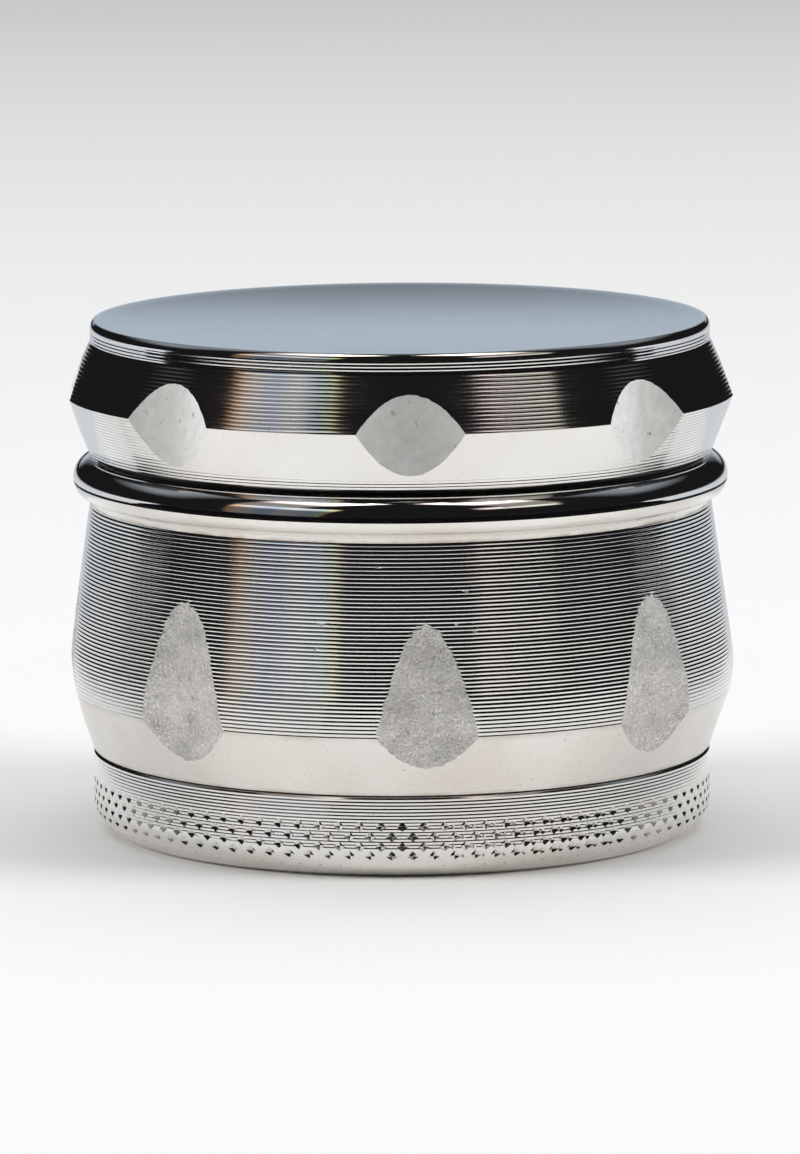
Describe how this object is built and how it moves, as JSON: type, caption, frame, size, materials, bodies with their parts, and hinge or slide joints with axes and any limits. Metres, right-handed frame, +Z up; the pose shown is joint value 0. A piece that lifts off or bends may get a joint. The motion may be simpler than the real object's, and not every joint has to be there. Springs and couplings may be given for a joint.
{
  "type": "herb and spice grinder",
  "caption": "Round metal hand grinder that unscrews into a toothed lid, a toothed chamber, a fluted storage drum with a fine screen, and a shallow catcher cup.",
  "frame": {"origin": "centre of the underside, on the surface that the grinder stands on", "axes": "+Z up along the central axis; -Y is the front, where one flute of each row faces"},
  "size_m": [0.0626, 0.0626, 0.0483],
  "materials": {
    "turned_chrome": "turned grooves, bright plated zinc, cast flutes left rough",
    "nickel": "bright nickel plate",
    "stainless_mesh": "fine woven wire",
    "stainless": "drawn wire",
    "black_nylon": "smooth, slightly waxy",
    "black_rubber": "smooth"
  },
  "bodies": {
    "catcher_body": {"catcher": "turned_chrome"},
    "lower_washer_body": {"lower_washer": "black_rubber"},
    "drum_body": {"drum": "turned_chrome", "screen_mesh": "stainless_mesh", "screen_hoop": "stainless", "screen_clip": "stainless"},
    "upper_washer_body": {"upper_washer": "black_rubber"},
    "chamber_body": {"grinding_chamber": "turned_chrome", "chamber_teeth": "turned_chrome", "chamber_magnet": "nickel"},
    "glide_ring_body": {"glide_ring": "black_nylon"},
    "lid_body": {"lid": "turned_chrome", "lid_teeth": "turned_chrome", "lid_magnet": "nickel"}
  },
  "joints": [
    {"name": "drum_rise", "type": "slide", "parent": "catcher_body", "child": "lower_washer_body", "axis": [0, 0, 1], "range_m": [0, 0.00337]},
    {"name": "drum_unscrew", "type": "hinge", "parent": "lower_washer_body", "child": "drum_body", "pos_m": [0, 0, 0.0078], "axis": [0, 0, 1], "range_deg": [0, 810]},
    {"name": "chamber_rise", "type": "slide", "parent": "drum_body", "child": "upper_washer_body", "axis": [0, 0, 1], "range_m": [0, 0.00337]},
    {"name": "chamber_unscrew", "type": "hinge", "parent": "upper_washer_body", "child": "chamber_body", "pos_m": [0, 0, 0.0332], "axis": [0, 0, 1], "range_deg": [0, 810]},
    {"name": "lid_lift", "type": "slide", "parent": "chamber_body", "child": "glide_ring_body", "axis": [0, 0, 1], "range_m": [0, 0.025]},
    {"name": "lid_spin", "type": "hinge", "parent": "glide_ring_body", "child": "lid_body", "pos_m": [0, 0, 0.036], "axis": [0, 0, 1], "continuous": true}
  ],
  "couplings": [
    {"joint": "drum_rise", "follows": "drum_unscrew", "m_per_rad": 0.00023873},
    {"joint": "chamber_rise", "follows": "chamber_unscrew", "m_per_rad": 0.00023873}
  ]
}
